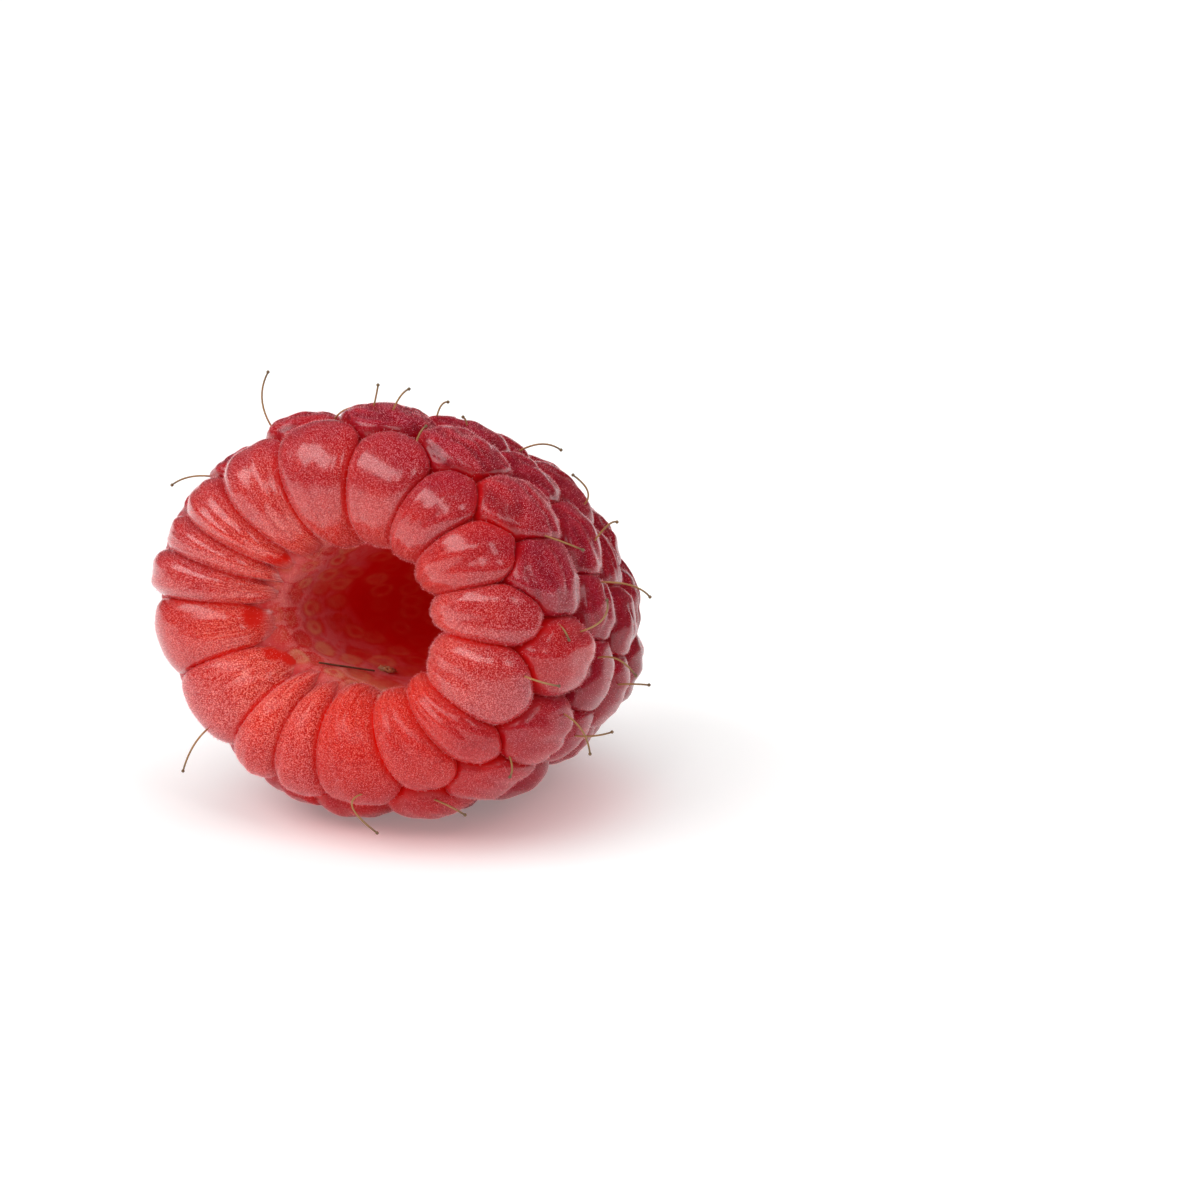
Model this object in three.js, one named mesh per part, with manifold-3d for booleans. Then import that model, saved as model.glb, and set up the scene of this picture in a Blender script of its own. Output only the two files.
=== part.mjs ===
// A ripe raspberry, picked from its plug and lying on its side, in millimetres with +Z up.
// The mouth of the hollow faces -Y and is a little higher than the tip, which points to +Y.
// The origin is on the surface that the berry lies on, under the middle of the berry.
//
// The flesh is one body: a rim of long drupelets that roll over into the mouth, staggered
// rows of rounder drupelets down to the tip, and the wall of the hollow inside them.
// It is modelled upright in the berry's own frame, tip at z = 0 and mouth at the top, and laid down last.

import * as THREE from 'three';
import { mergeVertices } from 'three/addons/utils/BufferGeometryUtils.js';
import Module from 'manifold-3d';

const DEGREE = Math.PI / 180;

// Driving dimensions of the berry.
const LENGTH = 23.5;               // tip to mouth, along the axis
const RADIUS = 11;                 // at the widest circle, before the berry is squeezed
const RIM_ROLL = 3.62;             // radius of the roll that the rim drupelets bend round
const MOUTH_SHIFT = 0.3;           // how far the mouth sits off the axis
const MOUTH_SHIFT_TURN = -40 * DEGREE;
const TAPER = 2.05;                // power of the outline from the widest circle to the tip
const WIDE = 1.15;                 // squeeze of the round section: its wide and its narrow way
const NARROW = 0.96;
const SQUEEZE_TURN = -14 * DEGREE;
const PRESSED_SIDES = [            // where picking pressed it in: angle, share of the radius, spread
  { turn: 140, by: 0.08, spread: 35 },
  { turn: 305, by: 0.03, spread: 30 },
];

// The lip of the mouth stands higher on its lower side.
const LOWER_LIP = 0.42;
const LOWER_LIP_TURN = 262;
const LOWER_LIP_SPREAD = 42;

// Rim drupelets: the angle that each takes, going clockwise round the mouth from the first crease.
const RIM_ANGLES = [27, 25, 20, 22, 21, 28, 17, 22, 26, 15, 14, 27, 25, 16, 13, 17, 25];
const FIRST_CREASE = 115;
const RIM_OVERLAP = 1.38;          // width of a drupelet to the angle that it takes
const RIM_MIDDLE = -27;            // middle of a drupelet on the roll: 0 is the top, 90 the outside
const RIM_REACH = 112;             // from there to either end
const RIM_DEPTH = 2.2;
const RIM_POWER = 2.4;
const SHORT_SIDE = 195;            // on this side they stop sooner inside the mouth
const SHORT_BY = 44;

// Rows of drupelets below the rim: how many there are and the length of wall that each row takes.
const ROWS = [
  { count: 17, length: 4.2 },
  { count: 17, length: 3.5 },
  { count: 16, length: 3.3 },
  { count: 14, length: 3.2 },
  { count: 12, length: 3.2 },
  { count: 9, length: 3.1 },
  { count: 6, length: 3.1 },
];
const ROWS_START = -1.1;           // along the wall, from the widest circle
const ROW_DEPTH = 2.4;
const ROW_POWER = 2.2;
const ROW_OVERLAP = 1.3;
const SCALE_TILT = 5 * DEGREE;     // the end towards the tip stands a little proud
const TIP_SIZE = 2.1;
const TIP_DEPTH = 2.3;

// The rim sits further down on one side.
const LEAN = 0.7;
const LEAN_TURN = 200;
const LEAN_FADE = 14;

// The hollow that the plug leaves: a blunt cone, with the relief of drupelet ends on its wall.
const HOLLOW_RADIUS = 3.85;
const HOLLOW_TOP = 19.6;
const HOLLOW_DEPTH = 13;
const HOLLOW_NARROWING = 0.25;
const HOLLOW_RINGS = 9;
const ENDS_PER_RING = 11;
const END_RELIEF = 0.2;

// How the berry lies.
const MOUTH_RISE = 13 * DEGREE;
const FLAT_DEPTH = 0.5;            // soft drupelets flatten this much where they touch the surface

// Repeatable draws between two values.
let drawn = 48271;
function draw(low, high) {
  drawn = (drawn * 16807) % 2147483647;
  return low + (high - low) * drawn / 2147483647;
}

// Degrees from one angle round the axis to another, the shorter way, from -180 to 180.
function aside(turn, from) {
  return THREE.MathUtils.euclideanModulo(turn - from + 180, 360) - 180;
}

// Radius of the roll's centre line and of the roll itself, at an angle round the axis.
function rimAt(turn) {
  const lip = LOWER_LIP * Math.exp(-((aside(turn / DEGREE, LOWER_LIP_TURN) / LOWER_LIP_SPREAD) ** 2));
  const roll = RIM_ROLL - MOUTH_SHIFT * Math.cos(turn - MOUTH_SHIFT_TURN) + lip;
  return { centre: RADIUS - roll, roll };
}

// The berry's outline as (radius, height): over the roll, past the widest circle and down to the tip.
class Outline extends THREE.Curve {
  getPoint(t, target = new THREE.Vector3()) {
    const shoulder = LENGTH - RIM_ROLL;
    if (t < 0.25) {
      const angle = t * 4 * Math.PI / 2;
      const centre = RADIUS - RIM_ROLL;
      return target.set(centre + RIM_ROLL * Math.sin(angle), shoulder + RIM_ROLL * Math.cos(angle), 0);
    }
    const down = Math.sin((t - 0.25) / 0.75 * Math.PI / 2);
    const radius = RADIUS * Math.sqrt(Math.max(0, 1 - down ** TAPER));
    return target.set(radius, shoulder * (1 - down), 0);
  }
}
const outline = new Outline();
outline.arcLengthDivisions = 2000;
const rollLength = RIM_ROLL * Math.PI / 2;
const wallLength = outline.getLength() - rollLength;

// A point of the wall and the directions there, `along` millimetres below the widest circle.
function wallAt(along) {
  const u = (along + rollLength) / (wallLength + rollLength);
  const point = outline.getPointAt(u);
  const tangent = outline.getTangentAt(u);
  return { point, tangent, radius: point.x };
}

// Only positions, with the vertices that faces share merged.
function bare(geometry) {
  geometry.deleteAttribute('normal');
  geometry.deleteAttribute('uv');
  return mergeVertices(geometry, 1e-5);
}

// Moves every vertex of a geometry by a function.
function reshape(geometry, move) {
  const position = geometry.getAttribute('position');
  const vertex = new THREE.Vector3();
  for (let i = 0; i < position.count; i += 1) {
    move(vertex.fromBufferAttribute(position, i), i);
    position.setXYZ(i, vertex.x, vertex.y, vertex.z);
  }
  return geometry;
}

// Swells a unit ball towards a box: 2 leaves it round.
function swell(vertex, power) {
  const size = Math.abs(vertex.x) ** power + Math.abs(vertex.y) ** power + Math.abs(vertex.z) ** power;
  return vertex.multiplyScalar(size ** (-1 / power));
}

// A long drupelet bent round the roll of the rim.
function rimDrupelet(turn, halfAngle, middle, reach, bump) {
  const ball = bare(new THREE.SphereGeometry(1, 12, 10));
  return reshape(ball, (vertex) => {
    swell(vertex, RIM_POWER);
    const round = (turn - vertex.x * halfAngle) * DEGREE;
    const over = (middle + vertex.y * reach) * DEGREE;
    const { centre, roll } = rimAt(round);
    const out = roll + bump - RIM_DEPTH + vertex.z * RIM_DEPTH;
    const radius = centre + out * Math.sin(over);
    const height = LENGTH - roll + out * Math.cos(over);
    vertex.set(radius * Math.cos(round), radius * Math.sin(round), height);
  });
}

// A rounder drupelet on the wall, its long way towards the tip.
function wallDrupelet(turn, along, halfWidth, halfLength, depth, bump) {
  const ball = bare(new THREE.IcosahedronGeometry(1, 2));
  reshape(ball, (vertex) => swell(vertex, ROW_POWER));
  const { point, tangent } = wallAt(along);
  const outward = new THREE.Vector3(Math.cos(turn * DEGREE), Math.sin(turn * DEGREE), 0);
  const onWall = (radial, axial) => outward.clone().multiplyScalar(radial).setZ(axial);
  const down = onWall(tangent.x, tangent.y);
  const out = onWall(-tangent.y, tangent.x);
  const across = down.clone().cross(out);
  const middle = onWall(point.x, point.y).addScaledVector(out, bump - depth);
  down.applyAxisAngle(across, SCALE_TILT);
  out.applyAxisAngle(across, SCALE_TILT);
  const frame = new THREE.Matrix4().makeBasis(
    across.multiplyScalar(halfWidth), down.multiplyScalar(halfLength), out.multiplyScalar(depth));
  return ball.applyMatrix4(frame.setPosition(middle));
}

// How far the rim and the first rows sit down on the leaning side.
function leanAt(turn) {
  return LEAN * Math.cos((turn - LEAN_TURN) * DEGREE);
}

function rimDrupelets() {
  const pieces = [];
  const creases = [];
  let crease = FIRST_CREASE;
  for (const angle of RIM_ANGLES) {
    creases.push(crease);
    const turn = crease - angle / 2;
    const lean = leanAt(turn) / RIM_ROLL / DEGREE;
    const short = SHORT_BY * THREE.MathUtils.clamp((90 - Math.abs(aside(turn, SHORT_SIDE))) / 30, 0, 1);
    const middle = RIM_MIDDLE + 0.6 * lean + draw(-3, 3) + short / 2;
    const reach = RIM_REACH + draw(-3, 3) - short / 2;
    pieces.push(rimDrupelet(turn, angle / 2 * RIM_OVERLAP, middle, reach, draw(-0.1, 0.15)));
    crease -= angle;
  }
  return { pieces, creases };
}

function wallDrupelets(creases) {
  const pieces = [];
  let start = ROWS_START;
  ROWS.forEach(({ count, length }, row) => {
    const along = start + length / 2;
    const halfWidth = Math.PI * wallAt(along).radius / count;
    for (let i = 0; i < count; i += 1) {
      const even = 360 * (i + 0.5 * (row % 2)) / count + FIRST_CREASE + 13 * row;
      const turn = (row === 0 ? creases[i] : even) + draw(-0.06, 0.06) * 360 / count;
      const lean = leanAt(turn) * Math.max(0, 1 - along / LEAN_FADE);
      const place = along + lean + draw(-0.22, 0.22);
      const across = halfWidth * ROW_OVERLAP * draw(0.94, 1.06);
      const down = length / 2 * ROW_OVERLAP * draw(1.01, 1.12);
      pieces.push(wallDrupelet(turn, place, across, down, ROW_DEPTH, draw(-0.15, 0.2)));
    }
    start += length;
  });
  pieces.push(wallDrupelet(0, wallLength - 0.05, TIP_SIZE, TIP_SIZE, TIP_DEPTH, 0));
  return pieces;
}

// The wall of the hollow, which all the drupelets stand on: a cup, with the relief inside it.
function hollowWall() {
  const outside = [1, 0.8, 0.6, 0.45, 0.3].map((t) => outline.getPoint(t));
  const cup = outside.map(({ x, y }) => new THREE.Vector2(x * 0.8, 2.2 + y * 0.87));
  cup[0].x = 0;
  cup.push(new THREE.Vector2(HOLLOW_RADIUS + 0.85, HOLLOW_TOP + 1.6));
  const firstRing = cup.length;
  for (let ring = 0; ring <= HOLLOW_RINGS; ring += 1) {
    const down = Math.sin(ring / HOLLOW_RINGS * Math.PI / 2);
    const radius = HOLLOW_RADIUS * (1 - HOLLOW_NARROWING * down) * Math.sqrt(1 - down ** 6);
    cup.push(new THREE.Vector2(radius, HOLLOW_TOP - HOLLOW_DEPTH * down));
  }
  const wall = new THREE.LatheGeometry(cup, 2 * ENDS_PER_RING);
  reshape(wall, (vertex, i) => {
    const ring = i % cup.length - firstRing;
    const radius = cup[i % cup.length].x;
    if (ring < 1 || ring > HOLLOW_RINGS - 2) return;
    const step = Math.round(Math.atan2(vertex.x, vertex.z) / Math.PI * ENDS_PER_RING);
    const proud = (step + ring) % 2 === 0 ? END_RELIEF : -END_RELIEF;
    vertex.multiply(new THREE.Vector3(1 - proud / radius, 1, 1 - proud / radius));
  });
  return bare(wall.rotateX(Math.PI / 2));
}

const wasm = await Module();
wasm.setup();

function solid(geometry) {
  const vertProperties = new Float32Array(geometry.getAttribute('position').array);
  const triVerts = new Uint32Array(geometry.index.array);
  return new wasm.Manifold(new wasm.Mesh({ numProp: 3, vertProperties, triVerts }));
}

// Pockets that the joining seals are filled, by keeping the outer body alone.
function filled(body) {
  return body.decompose().reduce((most, piece) => (piece.volume() > most.volume() ? piece : most));
}

function shell(body) {
  const { vertProperties, triVerts } = body.getMesh();
  const geometry = new THREE.BufferGeometry();
  geometry.setAttribute('position', new THREE.BufferAttribute(vertProperties, 3));
  geometry.setIndex(new THREE.BufferAttribute(triVerts, 1));
  geometry.computeBoundingBox();
  return geometry;
}

// Presses in and squeezes the round section, then lays the berry on its side with the mouth a little up.
function layDown(geometry) {
  reshape(geometry, (vertex) => {
    const turn = Math.atan2(vertex.y, vertex.x) / DEGREE;
    for (const side of PRESSED_SIDES) {
      const kept = 1 - side.by * Math.exp(-((aside(turn, side.turn) / side.spread) ** 2));
      vertex.multiply(new THREE.Vector3(kept, kept, 1));
    }
  });
  geometry.rotateZ(-SQUEEZE_TURN).scale(WIDE, NARROW, 1).rotateZ(SQUEEZE_TURN);
  return geometry.rotateX(Math.PI / 2 - MOUTH_RISE);
}

const { pieces: rim, creases } = rimDrupelets();
const drupelets = [...rim, ...wallDrupelets(creases), hollowWall()].map(layDown);
const grown = filled(drupelets.map(solid).reduce((body, piece) => body.add(piece)));

// The berry sinks until its lowest drupelets flatten on the surface, and comes to the middle.
const { min, max } = shell(grown).boundingBox;
const ground = new THREE.BoxGeometry(80, 80, 20).translate(0, 0, min.z + FLAT_DEPTH - 10);
const berry = shell(grown.subtract(solid(bare(ground))));
berry.translate(-(min.x + max.x) / 2, -(min.y + max.y) / 2, -(min.z + FLAT_DEPTH));

const flesh = new THREE.MeshStandardMaterial({ color: 0xb5303c, roughness: 0.45, metalness: 0 });
const drupeletMesh = new THREE.Mesh(berry, flesh);
drupeletMesh.name = 'drupelets';

const raspberry = new THREE.Group();
raspberry.add(drupeletMesh);

export default raspberry;
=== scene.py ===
"""A picked raspberry lying on its side: the flesh, the hollow, the dried styles and the down on the skin.

Lengths in the sections are millimetres in the berry's own frame: x and y across it, z along its
axis with the tip at 0 and the mouth at the top. lay() turns them into the frame's metres.
"""

import math

import bpy
import numpy as np
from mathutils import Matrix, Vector, noise
from mathutils.bvhtree import BVHTree


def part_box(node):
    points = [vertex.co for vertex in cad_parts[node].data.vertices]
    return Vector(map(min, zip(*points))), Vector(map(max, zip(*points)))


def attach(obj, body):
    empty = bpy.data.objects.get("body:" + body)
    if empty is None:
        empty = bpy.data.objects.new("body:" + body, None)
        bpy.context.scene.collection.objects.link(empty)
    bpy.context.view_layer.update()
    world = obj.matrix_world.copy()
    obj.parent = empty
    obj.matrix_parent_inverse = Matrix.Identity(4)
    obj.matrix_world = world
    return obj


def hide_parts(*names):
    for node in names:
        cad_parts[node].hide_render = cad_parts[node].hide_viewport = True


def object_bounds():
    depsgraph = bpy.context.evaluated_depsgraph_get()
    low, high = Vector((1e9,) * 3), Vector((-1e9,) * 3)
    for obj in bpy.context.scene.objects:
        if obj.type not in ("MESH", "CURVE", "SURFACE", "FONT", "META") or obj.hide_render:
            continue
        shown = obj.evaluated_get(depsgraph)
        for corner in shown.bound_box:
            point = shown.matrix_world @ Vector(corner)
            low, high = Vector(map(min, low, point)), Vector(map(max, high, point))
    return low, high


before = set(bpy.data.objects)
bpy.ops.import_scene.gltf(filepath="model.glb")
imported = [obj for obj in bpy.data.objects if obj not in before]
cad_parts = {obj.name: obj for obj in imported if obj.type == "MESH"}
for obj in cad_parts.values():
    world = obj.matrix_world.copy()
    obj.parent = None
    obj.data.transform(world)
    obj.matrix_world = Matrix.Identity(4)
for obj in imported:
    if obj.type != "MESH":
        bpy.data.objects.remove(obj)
cad_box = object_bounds()


# ----------------------------------------------------------------------
# The berry's own shape. A berry grows round its plug as a blunt cone with a rim that rolls over
# into the mouth. Once picked it is a little squeezed, and lies with the mouth slightly up.
LENGTH = 23.5
RADIUS = 11.0
RIM_ROLL = 3.62
MOUTH_SHIFT, MOUTH_SHIFT_TURN = 0.3, math.radians(-40)
LOWER_LIP, LOWER_LIP_TURN, LOWER_LIP_WIDTH = 0.42, math.radians(262), math.radians(42)
TAPER = 2.05
WIDE, NARROW, SQUEEZE_TURN = 1.15, 0.96, math.radians(-14)
PRESSED_SIDES = [(140, 0.08, 35), (305, 0.03, 30)]   # angle, share of the radius, spread
MOUTH_RISE = math.radians(13)
SHOULDER = LENGTH - RIM_ROLL
OUTLINE_STEPS = 4000

drawn = 48271


def draw(low, high):
    """One repeatable draw between two values."""
    global drawn
    drawn = drawn * 16807 % 2147483647
    return low + (high - low) * drawn / 2147483647


def about_axis(radius, turn, height):
    """Points at distances from the axis, angles round it and heights along it."""
    return np.stack([radius * np.cos(turn), radius * np.sin(turn), height], -1)


def rim_at(turn):
    """The roll's centre-line radius and its own radius, at an angle round the axis."""
    aside = (turn - LOWER_LIP_TURN + math.pi) % math.tau - math.pi
    roll = (RIM_ROLL - MOUTH_SHIFT * np.cos(turn - MOUTH_SHIFT_TURN)
            + LOWER_LIP * np.exp(-(aside / LOWER_LIP_WIDTH) ** 2))
    return RADIUS - roll, roll


down = np.sin(np.linspace(0, math.pi / 2, OUTLINE_STEPS))
outline_radius = RADIUS * np.sqrt(np.maximum(0, 1 - down ** TAPER))
outline_height = SHOULDER * (1 - down)
outline_run = np.cumsum(np.hypot(np.diff(outline_radius), np.diff(outline_height)))
outline_run = np.concatenate([[0], outline_run])
WALL_LENGTH = outline_run[-1]


def wall_point(along):
    """(radius, height) of the wall, so many millimetres below the widest circle."""
    if along < 0:
        angle = math.pi / 2 + along / RIM_ROLL
        return RADIUS - RIM_ROLL + RIM_ROLL * math.sin(angle), SHOULDER + RIM_ROLL * math.cos(angle)
    return (float(np.interp(along, outline_run, outline_radius)),
            float(np.interp(along, outline_run, outline_height)))


def lay(points):
    """Presses in and squeezes points of the berry and lays them on their side, still in millimetres."""
    x, y, z = points[..., 0], points[..., 1], points[..., 2]
    turn = np.degrees(np.arctan2(y, x))
    for side, by, spread in PRESSED_SIDES:
        kept = 1 - by * np.exp(-(((turn - side + 180) % 360 - 180) / spread) ** 2)
        x, y = x * kept, y * kept
    c, s = math.cos(SQUEEZE_TURN), math.sin(SQUEEZE_TURN)
    wide, narrow = (x * c + y * s) * WIDE, (y * c - x * s) * NARROW
    x, y = wide * c - narrow * s, wide * s + narrow * c
    c, s = math.cos(MOUTH_RISE), math.sin(MOUTH_RISE)
    return np.stack([x, s * y - c * z, c * y + s * z], -1)


# ----------------------------------------------------------------------
# The drupelets. Each is a small juicy ball that its neighbours press flat on every side, so only
# a dome shows, with a narrow crease round it. Those of the rim are long and bend into the mouth.
RIM_ANGLES = [27, 25, 20, 22, 21, 28, 17, 22, 26, 15, 14, 27, 25, 16, 13, 17, 25]
FIRST_CREASE = 115
RIM_OVERLAP = 1.38
RIM_MIDDLE, RIM_REACH = -27, 112   # degrees over the roll: their middle, and from it to an end
RIM_DEPTH, RIM_POWER = 2.2, 2.45
SHORT_SIDE, SHORT_BY = 195, 44     # on this side they stop sooner inside the mouth
# How many stand in each row of the wall, and how much of it the row takes.
ROWS = [(17, 4.2), (17, 3.5), (16, 3.3), (14, 3.2), (12, 3.2), (9, 3.1), (6, 3.1)]
ROWS_START = -1.1
ROW_TURN, ROW_STEP = 13, 3.5       # each row starts so many degrees on, and is about so long
ROW_DEPTH, ROW_POWER, ROW_OVERLAP = 2.4, 2.2, 1.3
RIM_UNEVEN, RIM_LIFT = 3, (-0.1, 0.15)                 # by chance: degrees over the roll, and height
ROW_ASIDE, ROW_ALONG, ROW_LIFT = 0.06, 0.22, (-0.15, 0.2)
ROW_WIDER, ROW_LONGER = (0.94, 1.06), (1.01, 1.12)
SCALE_TILT = math.radians(5)
TIP_SIZE, TIP_DEPTH = 2.1, 2.3
LEAN, LEAN_TURN, LEAN_FADE, ROLL_LEAN = 0.7, 200, 14, 0.6   # the rows sit lower on one side
NEARER_WINS = 0.05                 # a drupelet nearer the mouth presses into the one behind it
ROUND_BESIDE, ROUND_BEHIND, ROUND_OVER = 0.11, 0.22, 0.08   # its edges beside, under and over others
CREASE_FROM, CREASE_WIDE, VALLEY_WIDE = 0.99, 0.05, 0.16   # shares of a drupelet's size
RIDGES, DENTS = 0.032, 0.032       # their heights too are shares of its size
FOLD_DEPTH, FOLD_WIDE = 0.07, 0.15 # the wall's upper drupelets have dried out and folded a little
# Bare, glassy spots near the inner ends of some of the rim, by its number, in its own sizes.
PITS = {11: [(0.3, -0.58), (-0.15, -0.70)], 12: [(0.15, -0.52), (0.5, -0.55)],
        15: [(-0.2, -0.55), (0.35, -0.64)]}
PIT_WIDE, PIT_LONG, PIT_DEPTH = 0.29, 0.085, 0.045
LIP_TURN = math.radians(-20)       # the hollow's lining starts here on the roll, under their ends
LIP_RISES_FROM, LIP_RISES_TO = math.radians(-42), math.radians(-72)
LIP_SUNK, LIP_FALL, LIP_RAISED = 0.60, 0.3, 0.42   # under the roll, at its start, up on the short side
LIP_BLEND, LIP_BLEND_FROM, END_FADE = 0.42, 0.25, 0.45
# How thick the down is on each of the rim, from the top to the right.
BLOOM = [1.0, 0.95, 0.65, 0.6, 1.15, 1.3, 0.45, 0.6, 0.7, 1.3, 1.4, 1.65, 0.95, 1.3, 1.3, 1.15, 1.2]
NEIGHBOUR_REACH, FAR_ENOUGH, HALVINGS = 7.5, 1.25, 14


def size_in(q, power):
    """1 on the skin of a drupelet that is a rounded box, in its own sizes."""
    return (np.abs(q) ** power).sum(-1) ** (1 / power)


def smooth(share):
    return share * share * (3 - 2 * share)


class RimDrupelet:
    """A drupelet bent round the roll: its own x goes round the mouth, y over the roll, z out."""
    power, win, folded, gloss, fibrous = RIM_POWER, NEARER_WINS, 1, 1, 1

    def __init__(self, turn, half_angle, middle, reach, bump, down_and_sheen):
        self.down_and_sheen = down_and_sheen
        self.turn, self.half = math.radians(turn), math.radians(half_angle)
        self.middle, self.reach, self.bump = math.radians(middle), math.radians(reach), bump
        self.centre = self.place(np.array([0, 0, 0.3]))
        self.pits, self.crumpled = [], 0

    def warmth_and_bounce_light(self, q):
        """0 is crimson and 1 the lighter, warmer red near the mouth; the underside is painted lighter and
        warmer as well, standing in for light bounced up from the surface.
        """
        return np.clip(0.78 - 0.68 * q[:, 1], 0.1, 1.1) - 0.12 * math.sin(self.turn)

    def pit(self, q):
        """1 in the bare spots where the plug held on longest."""
        spots = [np.exp(-((q[:, 0] - across) / PIT_WIDE) ** 2 - ((q[:, 1] - along) / PIT_LONG) ** 2)
                 for across, along in self.pits]
        return np.sum(spots, 0) if spots else np.zeros(len(q))

    def run_out(self, points):
        """Lets its end run out evenly into the hollow's lining. Also gives 1 where it does so."""
        turn = np.arctan2(points[:, 1], points[:, 0])
        centre, roll = rim_at(turn)
        radial, axial = np.hypot(points[:, 0], points[:, 1]) - centre, points[:, 2] - (LENGTH - roll)
        over, out = np.arctan2(radial, axial), np.hypot(radial, axial)
        lining_out = roll - lining_depth(turn, np.clip(over, -math.pi / 2, 0))
        under = lining_out - out
        rounded = np.clip(1 - np.abs(under) / LIP_BLEND, 0, 1) ** 2
        met = np.maximum(out, lining_out) + LIP_BLEND / 4 * rounded
        met = np.where(under > LIP_BLEND, lining_out - 0.4 * (under - LIP_BLEND), met)
        share = np.clip((LIP_RISES_FROM - over) / LIP_BLEND_FROM, 0, 1)
        share = share * np.clip(2 * shortness(np.degrees(turn)), 0, 1)
        met = out + (met - out) * share
        radius, height = centre + met * np.sin(over), LENGTH - roll + met * np.cos(over)
        end = np.clip(1 - (met - lining_out) / END_FADE, 0, 1) * share
        return about_axis(radius, turn, height), smooth(end)

    def place(self, q):
        turn = self.turn - q[..., 0] * self.half
        over = self.middle + q[..., 1] * self.reach
        centre, roll = rim_at(turn)
        out = roll + self.bump - RIM_DEPTH + q[..., 2] * RIM_DEPTH
        radius = centre + out * np.sin(over)
        return about_axis(radius, turn, LENGTH - roll + out * np.cos(over))

    def depth_of(self, p):
        """1 on its skin, less inside it."""
        turn = np.arctan2(p[..., 1], p[..., 0])
        centre, roll = rim_at(turn)
        radial, axial = np.hypot(p[..., 0], p[..., 1]) - centre, p[..., 2] - (LENGTH - roll)
        round_by = (self.turn - turn + math.pi) % math.tau - math.pi
        over_by = (np.arctan2(radial, axial) - self.middle + math.pi) % math.tau - math.pi
        out = np.hypot(radial, axial) - (roll + self.bump - RIM_DEPTH)
        q = np.stack([round_by / self.half, over_by / self.reach, out / RIM_DEPTH], -1)
        return size_in(q, self.power)


class WallDrupelet:
    """A rounder drupelet: its own x goes across the wall, y towards the tip, z out."""
    power, folded, gloss, fibrous = ROW_POWER, 1.6, 0.6, 0

    def __init__(self, turn, along, half_width, half_length, depth, bump):
        self.turn, step = math.radians(turn), 0.02
        radius, height = wall_point(along)
        (r0, z0), (r1, z1) = wall_point(along - step), wall_point(along + step)
        tangent = np.array([r1 - r0, z1 - z0])
        tangent /= np.linalg.norm(tangent)
        outward = np.array([math.cos(math.radians(turn)), math.sin(math.radians(turn)), 0])
        axis = np.array([0, 0, 1.0])
        y = outward * tangent[0] + axis * tangent[1]
        z = -outward * tangent[1] + axis * tangent[0]
        self.centre = outward * radius + axis * height + z * (bump - depth)
        c, s = math.cos(SCALE_TILT), math.sin(SCALE_TILT)
        self.axes = np.array([np.cross(y, z), c * y + s * z, c * z - s * y])
        self.halves = np.array([half_width, half_length, depth])
        self.win = -NEARER_WINS * max(0, along) / ROW_STEP
        # Thicker down on the upper side, and with it a painted pale sheen standing in for grazing light
        # from above.
        self.down_and_sheen = max(0.35, 0.6 - along / 20) + 0.6 * max(0, math.sin(self.turn))
        # Warmer towards the mouth; the lower side is painted warmer too, standing in for light bounced up
        # from the surface.
        self.warm = max(-0.8, 0.30 - (along - ROWS_START) / 12) - 0.18 * math.sin(self.turn)
        self.crumpled = max(0, math.sin(self.turn)) ** 0.5 * (along > 0)

    def warmth_and_bounce_light(self, q):
        return self.warm - 0.12 * q[:, 1]

    def pit(self, q):
        return np.zeros(len(q))

    def run_out(self, points):
        return points, np.zeros(len(points))

    def place(self, q):
        return self.centre + (q * self.halves) @ self.axes

    def depth_of(self, p):
        return size_in((p - self.centre) @ self.axes.T / self.halves, self.power)


def lean_at(turn):
    return LEAN * math.cos(math.radians(turn - LEAN_TURN))


def shortness(turn):
    """1 on the side of the mouth where the rim's drupelets stop sooner, else 0. Degrees."""
    aside = np.abs((turn - SHORT_SIDE + 180) % 360 - 180)
    return np.clip((90 - aside) / 30, 0, 1)


def lining_depth(turn, over):
    """How deep the hollow's lining lies under the roll of the rim."""
    rising = smooth(np.clip((over - LIP_RISES_FROM) / (LIP_RISES_TO - LIP_RISES_FROM), 0, 1))
    return LIP_SUNK + LIP_FALL * (1 - rising) - LIP_RAISED * rising * shortness(np.degrees(turn))


rim, creases, crease = [], [], FIRST_CREASE
for angle in RIM_ANGLES:
    creases.append(crease)
    turn = crease - angle / 2
    lean = ROLL_LEAN * math.degrees(lean_at(turn) / RIM_ROLL)
    middle = RIM_MIDDLE + lean + draw(-RIM_UNEVEN, RIM_UNEVEN)
    reach = RIM_REACH + draw(-RIM_UNEVEN, RIM_UNEVEN)
    short = SHORT_BY * shortness(turn)
    middle, reach = middle + short / 2, reach - short / 2
    half = angle / 2 * RIM_OVERLAP
    rim.append(RimDrupelet(turn, half, middle, reach, draw(*RIM_LIFT), BLOOM[len(rim)]))
    crease -= angle
for number, pits in PITS.items():
    rim[number].pits = pits

wall, start = [], ROWS_START
for row, (count, length) in enumerate(ROWS):
    along = start + length / 2
    half_width = math.pi * wall_point(along)[0] / count
    for i in range(count):
        even = 360 * (i + 0.5 * (row % 2)) / count + FIRST_CREASE + ROW_TURN * row
        turn = (creases[i] if row == 0 else even) + draw(-ROW_ASIDE, ROW_ASIDE) * 360 / count
        lean = lean_at(turn) * max(0, 1 - along / LEAN_FADE)
        place = along + lean + draw(-ROW_ALONG, ROW_ALONG)
        across = half_width * ROW_OVERLAP * draw(*ROW_WIDER)
        half_length = length / 2 * ROW_OVERLAP * draw(*ROW_LONGER)
        wall.append(WallDrupelet(turn, place, across, half_length, ROW_DEPTH, draw(*ROW_LIFT)))
    start += length
wall.append(WallDrupelet(0, WALL_LENGTH - 0.05, TIP_SIZE, TIP_SIZE, TIP_DEPTH, 0))
drupelets = rim + wall


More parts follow.
